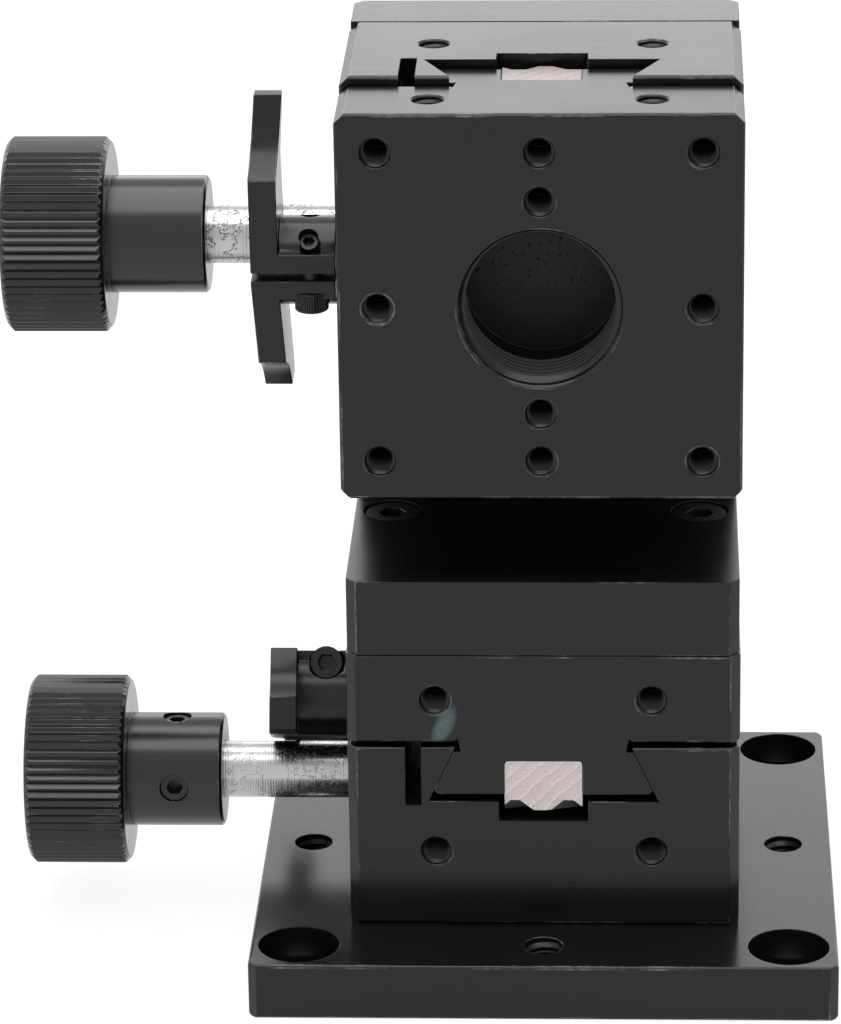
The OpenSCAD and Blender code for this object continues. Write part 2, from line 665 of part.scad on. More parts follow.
// Screws through the bracket's wall into the upper body
module wall_screws() color(dark_steel) translate([0, wall_seat, upper_mid_z]) rotate([-90, 0, 0]) at_corners()
    cap_screw(m3_d, wall_seat - wall_y + body_screw_len, m3_head_d, m3_head_h);

module lower_body() color(anodised) at_lower() stage_body();
module lower_knob_bush() color(bronze) at_lower() stage_knob_bush();
module lower_far_bush() color(bronze) at_lower() stage_far_bush();
module lower_bush_screws() color(dark_steel) at_lower() stage_bush_screws();
module lower_stop_pin() color(steel) at_lower() stage_stop_pin();
module lower_slider() color(anodised) at_lower() stage_slider(false, -1);
module lower_rack() color(rack_steel) at_lower() stage_rack();
module lower_rack_screws() color(dark_steel) at_lower() stage_rack_screws();
module lower_pinion_shaft() color(steel) at_lower() stage_shaft();
module lower_pinion() color(steel) at_lower() stage_pinion(0);
module lower_thrust_washers() color(steel) at_lower() stage_washers();
module lower_knob() color(anodised) at_lower() stage_knob(lower_knob_a);
module lower_knob_screws() color(dark_steel) at_lower() stage_knob_screws(lower_knob_a);
module lower_lock_screw() color(steel) at_lower() stage_lock_screw(lower_lever_a);
module lower_lever() color(anodised) at_lower() stage_lever(lower_lever_a);
module lower_lever_clamp_screw() color(dark_steel) at_lower() stage_clamp_screw(lower_lever_a);
module lower_lever_set_screws() color(dark_steel) at_lower() stage_lever_set_screws(lower_lever_a);

module upper_body() color(anodised) at_upper() stage_body();
module upper_knob_bush() color(bronze) at_upper() stage_knob_bush();
module upper_far_bush() color(bronze) at_upper() stage_far_bush();
module upper_bush_screws() color(dark_steel) at_upper() stage_bush_screws();
module upper_stop_pin() color(steel) at_upper() stage_stop_pin();
module upper_slider() color(anodised) at_upper() translate([0, upper_rest, 0]) stage_slider(true, 1);
module upper_rack() color(rack_steel) at_upper() translate([0, upper_rest, 0]) stage_rack();
module upper_rack_screws() color(dark_steel) at_upper() translate([0, upper_rest, 0]) stage_rack_screws();
module upper_pinion_shaft() color(steel) at_upper() stage_shaft();
module upper_pinion() color(steel) at_upper() stage_pinion(upper_rest);
module upper_thrust_washers() color(steel) at_upper() stage_washers();
module upper_knob() color(anodised) at_upper() stage_knob(upper_knob_a);
module upper_knob_screws() color(dark_steel) at_upper() stage_knob_screws(upper_knob_a);
module upper_lock_screw() color(steel) at_upper() stage_lock_screw(upper_lever_a);
module upper_lever() color(anodised) at_upper() stage_lever(upper_lever_a);
module upper_lever_clamp_screw() color(dark_steel) at_upper() stage_clamp_screw(upper_lever_a);
module upper_lever_set_screws() color(dark_steel) at_upper() stage_lever_set_screws(upper_lever_a);

base_plate();
base_screws();
lower_body();
lower_knob_bush();
lower_far_bush();
lower_bush_screws();
lower_stop_pin();
lower_slider();
lower_rack();
lower_rack_screws();
lower_pinion_shaft();
lower_pinion();
lower_thrust_washers();
lower_knob();
lower_knob_screws();
lower_lock_screw();
lower_lever();
lower_lever_clamp_screw();
lower_lever_set_screws();
angle_bracket();
foot_screws();
wall_screws();
upper_body();
upper_knob_bush();
upper_far_bush();
upper_bush_screws();
upper_stop_pin();
upper_slider();
upper_rack();
upper_rack_screws();
upper_pinion_shaft();
upper_pinion();
upper_thrust_washers();
upper_knob();
upper_knob_screws();
upper_lock_screw();
upper_lever();
upper_lever_clamp_screw();
upper_lever_set_screws();
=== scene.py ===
import json
import math

import bmesh
import bpy
from bpy.props import FloatProperty, FloatVectorProperty, IntProperty, PointerProperty
from mathutils import Matrix, Vector


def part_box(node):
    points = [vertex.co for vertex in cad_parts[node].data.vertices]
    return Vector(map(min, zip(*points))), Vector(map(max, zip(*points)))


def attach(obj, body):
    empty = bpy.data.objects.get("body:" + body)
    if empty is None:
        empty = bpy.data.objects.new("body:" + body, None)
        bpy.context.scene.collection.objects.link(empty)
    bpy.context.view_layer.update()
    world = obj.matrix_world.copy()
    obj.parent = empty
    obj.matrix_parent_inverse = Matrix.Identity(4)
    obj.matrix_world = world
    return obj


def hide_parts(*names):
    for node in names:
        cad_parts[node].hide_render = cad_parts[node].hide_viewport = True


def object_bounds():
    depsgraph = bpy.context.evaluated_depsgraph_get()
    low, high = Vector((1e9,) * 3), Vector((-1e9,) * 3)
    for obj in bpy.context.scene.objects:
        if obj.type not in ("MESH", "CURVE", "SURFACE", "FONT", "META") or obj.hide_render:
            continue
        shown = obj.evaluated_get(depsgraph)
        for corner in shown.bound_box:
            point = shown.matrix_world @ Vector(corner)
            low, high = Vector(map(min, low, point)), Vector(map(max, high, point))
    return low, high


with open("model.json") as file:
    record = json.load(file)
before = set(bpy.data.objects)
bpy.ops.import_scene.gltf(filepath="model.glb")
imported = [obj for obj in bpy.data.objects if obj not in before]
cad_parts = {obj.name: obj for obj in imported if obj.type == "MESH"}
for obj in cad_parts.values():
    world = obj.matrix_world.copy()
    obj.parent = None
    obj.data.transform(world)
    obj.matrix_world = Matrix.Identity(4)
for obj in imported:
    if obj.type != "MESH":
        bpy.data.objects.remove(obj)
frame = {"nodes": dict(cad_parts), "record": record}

CAD_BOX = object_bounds()

bl_info = {
    "name": "Dovetail Stage Finish",
    "version": (1, 0, 0),
    "blender": (4, 5, 0),
    "location": "3D View > Sidebar > Stage",
    "description": "Finishes a two-axis rack and pinion stage and sets up its studio",
    "category": "Object",
}

MM = 0.001
RECORD = frame["record"]
MOUNTS = {m["name"]: m for m in RECORD["mounts"]}
SLOT_OF = {s["node"]: s["material_slot"] for s in RECORD["subparts"]}
BODY_OF = {n: b for b, names in RECORD["behaviour"]["bodies"].items() for n in names}

# The image that the camera values belong to, in pixels
IMAGE_HEIGHT = 1024

# Turns over which a thread fades in and out
RUN_OUT = 0.6

# A thread's ridge in pitches: its height, its half width at root and crest, and how deep its root sits
RIDGE_HEIGHT = 0.54
HALF_ROOT = 0.46
HALF_CREST = 0.1
ROOT_SUNK = 0.03

# Plain mouth of the large bore, in lead-ins of a small hole
BORE_LEAD_INS = 1.6

# Vertices closer than this are one, in a CAD node's triangles and in a shaped mesh
CAD_MERGE = 0.002 * MM
MERGE = 0.0005 * MM

# CAD triangles that meet at less than this are one flat face
FLAT = math.radians(0.6)

# Dust on the blocks and on the knobs
DUST = (0.4, 0.39, 0.38, 1)
KNOB_DUST = (0.45, 0.44, 0.43, 1)

# Soft boxes: place from the object's middle, and width and height
OVERHEAD_BOX = (Vector((0, 0.01, 0.5)), (0.6, 0.58))
BACK_BOX = (Vector((-0.05, 0.6, 0.18)), (0.9, 0.22))

# Reflectance of the floor far in front of the object and to either side of it
DARK_FLOOR = 0.05
WHITE_FLOOR = 0.97

# Gain of the floor's fibres where it is evened out, thin and thick
FIBRE_GAINS = (1.45, 1.5)


# Settings

class FinishSettings(bpy.types.PropertyGroup):
    anodised_color: FloatVectorProperty(
        name="Anodised", description="Dyed oxide on the blocks, plate and bracket",
        subtype="COLOR", size=3, default=(0.0062, 0.0062, 0.0068), min=0, max=1)
    anodised_roughness: FloatProperty(
        name="Anodised Roughness", description="Softness of the blocks' reflections",
        subtype="FACTOR", default=0.21, min=0, max=1)
    bore_floor_roughness: FloatProperty(
        name="Bore Floor", description="Softness gained on the bottom of the large bore",
        subtype="FACTOR", default=0.3, min=0, max=1)
    smear_color: FloatVectorProperty(
        name="Smear", description="Pale run on the lower slider's front",
        subtype="COLOR", size=3, default=(0.16, 0.24, 0.27), min=0, max=1)
    oxide_ior: FloatProperty(
        name="Oxide IOR", description="How strongly the dyed oxide mirrors its surroundings",
        default=1.39, min=1, max=2)
    # This pale edge colour is both the worn oxide and a painted highlight along the broken edges
    wear_and_highlight_color: FloatVectorProperty(
        name="Worn Edge", description="Edges where the dye is rubbed off",
        subtype="COLOR", size=3, default=(0.34, 0.34, 0.345), min=0, max=1)
    # How far the broken edges are lightened, as wear and as a painted highlight
    wear_and_highlight_strength: FloatProperty(
        name="Edge Wear", description="How far the worn places are rubbed through",
        subtype="FACTOR", default=0.4, min=0, max=1)
    thread_color: FloatVectorProperty(
        name="Threads", description="Thin oxide on the cut threads",
        subtype="COLOR", size=3, default=(0.012, 0.012, 0.0125), min=0, max=1)
    thread_roughness: FloatProperty(
        name="Thread Roughness", description="Softness of the threads' reflections",
        subtype="FACTOR", default=0.32, min=0, max=1)
    knurl_color: FloatVectorProperty(
        name="Knob", description="Dyed oxide on the knobs",
        subtype="COLOR", size=3, default=(0.005, 0.005, 0.0055), min=0, max=1)
    knurl_roughness: FloatProperty(
        name="Knob Roughness", description="Softness of the knobs' reflections",
        subtype="FACTOR", default=0.22, min=0, max=1)
    knurl_ior: FloatProperty(
        name="Knob IOR", description="How strongly the knobs mirror their surroundings",
        default=1.5, min=1, max=2)
    shaft_color: FloatVectorProperty(
        name="Shaft", description="Ground steel of the pinion shafts",
        subtype="COLOR", size=3, default=(0.5, 0.488, 0.491), min=0, max=1)
    shaft_roughness: FloatProperty(
        name="Shaft Roughness", description="Softness of the shafts' reflections",
        subtype="FACTOR", default=0.24, min=0, max=1)
    lower_wear: FloatProperty(
        name="Lower Shaft Wear", description="Strength of the scuffs on the lower shaft",
        subtype="FACTOR", default=0.15, min=0, max=1)
    upper_wear: FloatProperty(
        name="Upper Shaft Wear", description="Strength of the scuffs on the upper shaft",
        subtype="FACTOR", default=0.9, min=0, max=1)
    bright_color: FloatVectorProperty(
        name="Bright Steel", description="Bright steel of the small inner parts",
        subtype="COLOR", size=3, default=(0.5, 0.5, 0.51), min=0, max=1)
    rack_color: FloatVectorProperty(
        name="Rack", description="Freshly cut steel of the racks",
        subtype="COLOR", size=3, default=(0.56, 0.49, 0.485), min=0, max=1)
    # Painted light: each rack's sawn end is made lighter or darker in colour for how the light falls on it
    front_rack_painted_light: FloatProperty(
        name="Front Rack Gain", description="Brightness of the rack end that faces the camera", default=1.2)
    top_rack_painted_shade: FloatProperty(
        name="Top Rack Gain", description="Brightness of the rack end that faces up", default=0.76)
    # Beyond this depth from the ends the rack is painted near black as shade
    sawn_depth: FloatProperty(
        name="Sawn Depth", description="How far the bright sawn finish reaches from a rack's ends",
        unit="LENGTH", default=0.15 * MM)
    oxide_color: FloatVectorProperty(
        name="Screws", description="Black oxide on the screws",
        subtype="COLOR", size=3, default=(0.018, 0.018, 0.019), min=0, max=1)
    bronze_color: FloatVectorProperty(
        name="Bushes", description="Turned bronze of the bushes",
        subtype="COLOR", size=3, default=(0.55, 0.36, 0.16), min=0, max=1)


class EdgeSettings(bpy.types.PropertyGroup):
    lever_width: FloatProperty(
        name="Lever Edges", description="Radius of the tumbled edges of the levers",
        unit="LENGTH", default=0.14 * MM, min=0)
    width: FloatProperty(
        name="Edge Break", description="Width of the broken edges",
        unit="LENGTH", default=0.09 * MM, min=0)
    knurl_width: FloatProperty(
        name="Knurl Crest", description="Width of the worn crests of the knurl",
        unit="LENGTH", default=0.05 * MM, min=0)
    head_land: FloatProperty(
        name="Head Knurl Land", description="Half width of the lands between the clamp heads' grooves",
        unit="LENGTH", default=0.06 * MM, min=0)
    head_groove: FloatProperty(
        name="Head Knurl Groove", description="Depth of the grooves in the clamp heads",
        unit="LENGTH", default=0.07 * MM, min=0)
    rack_round: FloatProperty(
        name="Rack Corners", description="Radius on the back corners of the racks",
        unit="LENGTH", default=0.45 * MM, min=0)
    sharp_angle: FloatProperty(
        name="Sharp From", description="Faces that meet at more than this angle keep an edge",
        subtype="ANGLE", default=math.radians(28), min=0, max=math.pi)


class ThreadSettings(bpy.types.PropertyGroup):
    m3_pitch: FloatProperty(
        name="M3 Pitch", description="Lead of the small tapped holes", unit="LENGTH", default=0.5 * MM)
    m4_pitch: FloatProperty(
        name="M4 Pitch", description="Lead of the plate's tapped holes", unit="LENGTH", default=0.7 * MM)
    bore_pitch: FloatProperty(
        name="Bore Pitch", description="Lead of the large bore", unit="LENGTH", default=1 * MM)
    face_depth: FloatProperty(
        name="Face Depth", description="Depth of the slider's face holes", unit="LENGTH", default=6.6 * MM)
    end_depth: FloatProperty(
        name="End Depth", description="Depth of the end holes", unit="LENGTH", default=5.6 * MM)
    bore_share: FloatProperty(
        name="Bore Threaded", description="Share of the large bore's depth that is threaded",
        subtype="FACTOR", default=0.72, min=0.1, max=0.9)
    lead_in: FloatProperty(
        name="Lead In", description="Plain depth before the thread starts", unit="LENGTH", default=0.22 * MM)
    steps: IntProperty(
        name="Steps", description="Segments in a turn of a small thread", default=20, min=12, max=64)
    bore_steps: IntProperty(
        name="Bore Steps", description="Segments in a turn of the bore's thread", default=96, min=24, max=192)


class StudioSettings(bpy.types.PropertyGroup):
    camera_place: FloatVectorProperty(
        name="Camera", description="Place of the camera",
        subtype="TRANSLATION", unit="LENGTH", size=3, default=(10.861 * MM, -509.273 * MM, 241.13 * MM))
    camera_yaw: FloatProperty(
        name="Yaw", description="Turn of the camera about the upright",
        subtype="ANGLE", default=math.radians(-2.689))
    camera_pitch: FloatProperty(
        name="Pitch", description="Tilt of the camera below level",
        subtype="ANGLE", default=math.radians(21.159))
    camera_roll: FloatProperty(
        name="Roll", description="Turn of the camera about its line of sight",
        subtype="ANGLE", default=math.radians(-0.884))
    focal_pixels: FloatProperty(
        name="Focal Length", description="Focal length in pixels of the image", default=5251)
    floor_size: FloatProperty(
        name="Floor", description="Side of the floor", unit="LENGTH", default=6)
    overhead_power: FloatProperty(
        name="Overhead", description="Power of the overhead soft box", unit="POWER", default=3.3)
    back_power: FloatProperty(
        name="Back", description="Power of the soft box behind the object", unit="POWER", default=0.8)
    front_level: FloatProperty(
        name="Front Level", description="Light that reaches the object from the camera's side", default=0.1)
    back_level: FloatProperty(
        name="Back Level", description="Light that reaches the object from behind", default=0.6)
    back_fall: FloatProperty(
        name="Back Fall", description="Share of the light behind the object that is lost higher up",
        subtype="FACTOR", default=0.8, min=0, max=1)
    right_level: FloatProperty(
        name="Right Level", description="Light gained towards the right", default=0.5)
    left_level: FloatProperty(
        name="Left Level", description="Light gained towards the left", default=0.6)
    paper: FloatProperty(
        name="Paper", description="Reflectance of the floor round the object",
        subtype="FACTOR", default=0.62, min=0, max=1)
    paper_front: FloatProperty(
        name="Paper Front", description="Where the lit paper ends in front of the object",
        unit="LENGTH", default=-0.3)
    paper_side: FloatProperty(
        name="Paper Side", description="Where the whiter paper starts on either side",
        unit="LENGTH", default=0.12)
    paper_glow: FloatProperty(
        name="Paper Glow", description="Evening-out of the floor in the picture", default=0.88)


# Shader expressions

class Signal:
    """A shader value that works in Python expressions; each operator adds its Math node."""

    def __init__(self, graph, socket):
        self.graph = graph
        self.socket = socket

    def math(self, operation, *others):
        values = dict(enumerate((self, *others)))
        return self.graph.add("ShaderNodeMath", {"operation": operation}, values)

    def __add__(self, other):
        return self.math("ADD", other)

    __radd__ = __add__

    def __sub__(self, other):
        return self.math("SUBTRACT", other)

    def __rsub__(self, other):
        return self.graph.add("ShaderNodeMath", {"operation": "SUBTRACT"}, {0: other, 1: self})

    def __mul__(self, other):
        return self.math("MULTIPLY", other)

    __rmul__ = __mul__

    def __truediv__(self, other):
        return self.math("DIVIDE", other)

    def __rtruediv__(self, other):
        return self.graph.add("ShaderNodeMath", {"operation": "DIVIDE"}, {0: other, 1: self})

    def above(self, level, softness):
        """0 below level and 1 above it, with a soft step between."""
        return self.graph.add(
            "ShaderNodeMapRange", {"interpolation_type": "SMOOTHSTEP", "clamp": True},
            {"Value": self, "From Min": level - softness, "From Max": level + softness})


class Graph:
    """The node graph of one material or world."""

    def __init__(self, owner):
        owner.use_nodes = True
        self.tree = owner.node_tree
        self.tree.nodes.clear()

    def node(self, kind, settings=None, inputs=None):
        made = self.tree.nodes.new(kind)
        for name, value in (settings or {}).items():
            setattr(made, name, value)
        for name, value in (inputs or {}).items():
            if isinstance(value, Signal):
                self.tree.links.new(value.socket, made.inputs[name])
            else:
                made.inputs[name].default_value = value
        return made

    def add(self, kind, settings=None, inputs=None, out=0):
        return Signal(self, self.node(kind, settings, inputs).outputs[out])

    def place(self, scale=(1, 1, 1)):
        """Object coordinates, scaled."""
        here = self.add("ShaderNodeTexCoord", out="Object")
        return self.add("ShaderNodeMapping", {"vector_type": "POINT"}, {"Vector": here, "Scale": scale})

    def along(self, *axes):
        """Object coordinates along the axes 0, 1 or 2, one value each."""
        return [self.add("ShaderNodeSeparateXYZ", {}, {"Vector": self.place()}, out=i) for i in axes]

    def noise(self, scale, detail=2, stretch=(1, 1, 1)):
        return self.add(
            "ShaderNodeTexNoise", {"noise_dimensions": "3D"},
            {"Vector": self.place(stretch), "Scale": scale, "Detail": detail, "Roughness": 0.55})

    def specks(self, cell, radius, share):
        """Small dots, one in some of the cells of a random grid."""
        cells = {"Vector": self.place(), "Scale": 1 / cell, "Randomness": 1}
        near = self.node("ShaderNodeTexVoronoi", {"feature": "F1"}, cells)
        chosen = self.add("ShaderNodeSeparateColor", {}, {"Color": Signal(self, near.outputs["Color"])})
        dot = 1 - Signal(self, near.outputs["Distance"]).above(radius / cell, 0.3 * radius / cell)
        return dot * chosen.above(1 - share, 0.001)

    def blend(self, factor, a, b):
        """Colour a where factor is 0, colour b where it is 1."""
        made = self.node("ShaderNodeMix", {"data_type": "RGBA", "clamp_factor": True})
        for index, value in ((0, factor), (6, a), (7, b)):
            if isinstance(value, Signal):
                self.tree.links.new(value.socket, made.inputs[index])
            else:
                made.inputs[index].default_value = value
        return Signal(self, made.outputs[2])

    def bump(self, height, distance, strength=1.0):
        values = {"Height": height, "Distance": distance, "Strength": strength}
        return self.add("ShaderNodeBump", {}, values, out="Normal")

    def surface(self, shader):
        self.tree.links.new(shader.outputs[0], self.node("ShaderNodeOutputMaterial").inputs["Surface"])

    def principled(self, inputs):
        self.surface(self.node("ShaderNodeBsdfPrincipled", {}, inputs))


def rgba(color, gain=1.0):
    return (*(min(1, c * gain) for c in color), 1)


def new_finish(name):
    """A material and its empty graph."""
    material = bpy.data.materials.new(name)
    return material, Graph(material)


# Finishes

def anodised_finish(s, name, tint, softness, smear=False, bored=False):
    """Dyed oxide with a fine grain that breaks up its reflections, and a little dust."""
    material, g = new_finish(name)
    cloud = g.noise(90, 3)
    grain = g.noise(9000, 2)
    streak = g.noise(1400, 2, stretch=(0.06, 1, 1))
    dust = g.specks(1.9 * MM, 0.045 * MM, 0.05)
    color = g.blend(cloud, rgba(tint, 0.85), rgba(tint, 1.2))
    color = g.blend(dust * 0.5, color, DUST)
    roughness = softness + 0.1 * (cloud - 0.5) + 0.06 * (streak - 0.5)
    height = grain + 1.5 * g.noise(1900, 3, stretch=(1, 0.45, 1))
    if smear:
        color = g.blend(smear_mask(g) * 0.6, color, rgba(s.smear_color))
    if bored:
        floor, pits = bore_floor(g)
        roughness = roughness + s.bore_floor_roughness * floor + 0.3 * pits
        height = height - 12 * pits
    g.principled({
        "Base Color": color, "Roughness": roughness, "IOR": s.oxide_ior,
        "Normal": g.bump(height, 0.01 * MM, 0.5)})
    return material


def bore_floor(g):
    """1 on the flat bottom of the large bore, and 1 in the pits scattered over its upper part."""
    mount = MOUNTS["face_socket"]
    mouth = Vector((mount["pos_m"][0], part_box("upper_slider")[0].y, mount["pos_m"][2]))
    x, y, z = g.along(0, 1, 2)
    across, up = (x - mouth.x) / MM, (z - mouth.z) / MM
    deep = y.above(mouth.y + (mount["dims"]["length_mm"] - 0.5) * MM, 0.1 * MM)
    floor = deep * (1 - (across * across + up * up).above(mount["dims"]["r_mm"] ** 2, 1))
    pits = floor * up.above(-1, 2) * g.noise(1900, 1).above(0.67, 0.02)
    return floor, pits


def edge_highlight_and_wear_finish(s):
    """The broken edges: dyed oxide, rubbed through to grey here and there, and lightened as a painted
    highlight along the edges.
    """
    material, g = new_finish("painted_edge_highlight_and_wear")
    # Patches on the broken edges, lightened as wear and as a painted edge highlight
    rubbed = g.noise(130, 3).above(0.56, 0.08) * (0.25 + g.noise(1300, 3).above(0.5, 0.15))
    g.principled({
        "Base Color": g.blend(rubbed * s.wear_and_highlight_strength, rgba(s.anodised_color), rgba(s.wear_and_highlight_color)),
        "Roughness": 0.24 + 0.2 * rubbed, "IOR": s.oxide_ior})
    return material


def smear_mask(g):
    """A pale run below the left hole in the lower slider's front."""
    centre = Vector((-10.1, -20.0, 28.2)) * MM
    half_width, half_height = 1.05 * MM, 2.6 * MM
    lean = math.radians(24)
    x, y, z = g.along(0, 1, 2)
    across = ((x - centre.x) * math.cos(lean) - (z - centre.z) * math.sin(lean)) / half_width
    down = ((x - centre.x) * math.sin(lean) + (z - centre.z) * math.cos(lean)) / half_height
    reach = across * across + down * down
    on_face = 1 - y.above(centre.y + 0.3 * MM, 0.1 * MM)
    return (1 - reach.above(0.6, 0.55)) * on_face * (0.45 + 0.9 * g.noise(2600, 3))


def knob_finish(s):
    """Dyed oxide with fine turning rings round the X axis, and a little dust."""
    material, g = new_finish("knurled_black_finish")
    cloud = g.noise(140, 3)
    turned = g.noise(2600, 2, stretch=(1, 0.02, 0.02))
    dust = g.specks(2.2 * MM, 0.05 * MM, 0.05)
    color = g.blend(cloud, rgba(s.knurl_color, 0.8), rgba(s.knurl_color, 1.25))
    g.principled({
        "Base Color": g.blend(dust * 0.6, color, KNOB_DUST),
        "Roughness": s.knurl_roughness + 0.1 * (cloud - 0.5) + 0.05 * (turned - 0.5),
        "IOR": s.knurl_ior, "Normal": g.bump(turned, 0.004 * MM, 0.5)})
    return material


def steel_finish(name, color, roughness, lines, depth, wear=0.35):
    """Turned or ground steel with fine rings round the X axis; wear is how strongly it is scuffed."""
    material, g = new_finish(name)
    rings = g.noise(lines, 3, stretch=(1, 0.01, 0.01))
    stain = g.noise(260, 3)
    scratches = 1 - (g.noise(900, 3) - 0.5).math("ABSOLUTE").above(0.018, 0.012)
    scuff = scratches * g.noise(420, 2).above(0.47, 0.05)
    tone = g.blend(stain, rgba(color, 0.86), rgba(color, 1.08))
    g.principled({
        "Base Color": g.blend(scuff * wear, tone, rgba(color, 0.4)), "Metallic": 1,
        "Roughness": roughness + 0.12 * (stain - 0.5) + 0.08 * (rings - 0.5) + 0.25 * scuff,
        "Normal": g.bump(rings + wear * scuff, depth)})
    return material


def rack_finish(s, node, travel, gain):
    """Sawn ends with slanting cutter marks, lightened or darkened by gain as painted light, and flanks
    painted near black as shade in the tooth recesses; travel is the rack's own direction, 1 or 2.
    """
    material, g = new_finish(node + "_finish")
    low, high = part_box(node)
    x, other, along = g.along(0, 3 - travel, travel)
    from_middle = (along - (low[travel] + high[travel]) / 2).math("ABSOLUTE")
    sawn = from_middle.above((high[travel] - low[travel]) / 2 - s.sawn_depth, 0.3 * s.sawn_depth)
    lean = math.radians(43)
    run = (x * math.sin(lean) - other * math.cos(lean)) / (1.3 * MM)
    wander = g.noise(300, 2)
    marks = (run + 1.1 * wander).math("FRACT")
    mark = marks.above(0.9, 0.06) * (0.2 + wander)
    grain = g.noise(5200, 3)
    # gain paints the sawn end lighter or darker for how the light falls on it
    color = g.blend(marks, rgba(s.rack_color, 0.9 * gain), rgba(s.rack_color, 1.06 * gain))
    color = g.blend(mark * 0.7, color, rgba(s.rack_color, 1.25 * gain))
    color = g.blend(grain.above(0.6, 0.1) * 0.5, color, rgba(s.rack_color, 0.6 * gain))
    # Painted shade: away from the sawn ends the flanks and tooth recesses are made near black
    color = g.blend(sawn, rgba(s.rack_color, 0.07), color)
    g.principled({
        "Base Color": color, "Metallic": 0.75, "Roughness": 0.5 - 0.12 * mark,
        "Normal": g.bump(marks * 0.25 + grain, 0.012 * MM, 0.5)})
    return material


def oxide_finish(s):
    """Mottled black oxide on steel."""
    material, g = new_finish("black_oxide_finish")
    cloud = g.noise(700, 3)
    g.principled({
        "Base Color": g.blend(cloud, rgba(s.oxide_color, 0.7), rgba(s.oxide_color, 1.4)),
        "Metallic": 0.35, "Roughness": 0.3 + 0.14 * cloud,
        "Normal": g.bump(g.noise(5000, 2), 0.006 * MM, 0.4)})
    return material


def make_finishes(s):
    return {
        "black_anodised": anodised_finish(
            s, "black_anodised_finish", s.anodised_color, s.anodised_roughness),
        "lower_slider": anodised_finish(
            s, "smeared_anodised_finish", s.anodised_color, s.anodised_roughness, smear=True),
        "upper_slider": anodised_finish(
            s, "bored_anodised_finish", s.anodised_color, s.anodised_roughness, bored=True),
        "wear_and_highlight_edge": edge_highlight_and_wear_finish(s),
        "thread": anodised_finish(s, "cut_thread_finish", s.thread_color, s.thread_roughness),
        "knurled_black": knob_finish(s),
        "lower_pinion_shaft": steel_finish(
            "lower_shaft_finish", s.shaft_color, s.shaft_roughness, lines=6000, depth=0.04 * MM,
            wear=s.lower_wear),
        "upper_pinion_shaft": steel_finish(
            "upper_shaft_finish", s.shaft_color, s.shaft_roughness, lines=6000, depth=0.04 * MM,
            wear=s.upper_wear),
        "bright_steel": steel_finish(
            "bright_steel_finish", s.bright_color, 0.3, lines=2400, depth=0.006 * MM),
        "bronze_bush": steel_finish(
            "bronze_bush_finish", s.bronze_color, 0.34, lines=1800, depth=0.006 * MM),
        "lower_rack": rack_finish(s, "lower_rack", 1, s.front_rack_painted_light),
        "upper_rack": rack_finish(s, "upper_rack", 2, s.top_rack_painted_shade),
        "black_screws": oxide_finish(s),
    }


FINISHES = {}

# Slots whose broken edges are worn and lightened as a painted edge highlight
WEAR_AND_HIGHLIGHT_SLOTS = ("black_anodised", "knurled_black")


def finish_for(node):
    """The node's own finish if it has one, or else its slot's."""
    return FINISHES[node if node in FINISHES else SLOT_OF[node]]


def edge_finish_for(node):
    return FINISHES["wear_and_highlight_edge"] if SLOT_OF[node] in WEAR_AND_HIGHLIGHT_SLOTS else finish_for(node)


# Mesh work

def merged_copy(node):
    """A bmesh of a CAD node with its loose triangles joined and its flat faces made whole."""
    bm = bmesh.new()
    bm.from_mesh(frame["nodes"][node].data)
    bmesh.ops.remove_doubles(bm, verts=bm.verts, dist=CAD_MERGE)
    bmesh.ops.dissolve_limit(
        bm, angle_limit=FLAT, use_dissolve_boundaries=False, verts=bm.verts, edges=bm.edges)
    return bm


def sharp_edges(bm, angle):
    return [e for e in bm.edges if len(e.link_faces) == 2 and e.calc_face_angle(0) > angle]


def break_edges(bm, edges, width, segments=2):
    """Bevels the edges that are long enough to carry the width, and gives the new faces material slot 1."""
    edges = [e for e in edges if e.calc_length() > 1.2 * width]
    if edges:
        made = bmesh.ops.bevel(
            bm, geom=edges, offset=width, offset_type="OFFSET", affect="EDGES", segments=segments,
            profile=0.5, material=-1, clamp_overlap=False, loop_slide=True)
        for face in made["faces"]:
            face.material_index = 1
        bmesh.ops.dissolve_degenerate(bm, dist=MERGE, edges=bm.edges)


def add_piece(name, bm, body, materials, nodes=()):
    """Makes an object of a bmesh, smooth but for its sharp edges, and hangs it on its body."""
    sharp_angle = bpy.context.scene.stage_edges.sharp_angle
    for face in bm.faces:
        face.smooth = True
    for edge in bm.edges:
        edge.smooth = len(edge.link_faces) == 2 and edge.calc_face_angle(0) < sharp_angle
    mesh = bpy.data.meshes.new(name)
    bm.to_mesh(mesh)
    bm.free()
    piece = bpy.data.objects.new(name, mesh)
    bpy.context.scene.collection.objects.link(piece)
    for material in materials:
        mesh.materials.append(material)
    weighted = piece.modifiers.new("Face Weighted Normals", "WEIGHTED_NORMAL")
    weighted.keep_sharp = True
    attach(piece, body)
    if nodes:
        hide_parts(*nodes)


def dress(node, width, segments=2, first=None, last=None):
    """Replaces a CAD node by a copy with broken edges; first and last shape it before and after that."""
    bm = merged_copy(node)
    if first:
        first(bm)
    break_edges(bm, sharp_edges(bm, bpy.context.scene.stage_edges.sharp_angle), width, segments)
    if last:
        last(bm)
    materials = [finish_for(node), edge_finish_for(node)]
    add_piece(node + "_finish", bm, BODY_OF[node], materials, [node])


def coat(*nodes):
    """Gives CAD nodes that keep their own mesh their finish."""
    for node in nodes:
        mesh = frame["nodes"][node].data
        mesh.materials.clear()
        mesh.materials.append(finish_for(node))


def both(*names):
    return [f"{place}_{name}" for name in names for place in ("lower", "upper")]


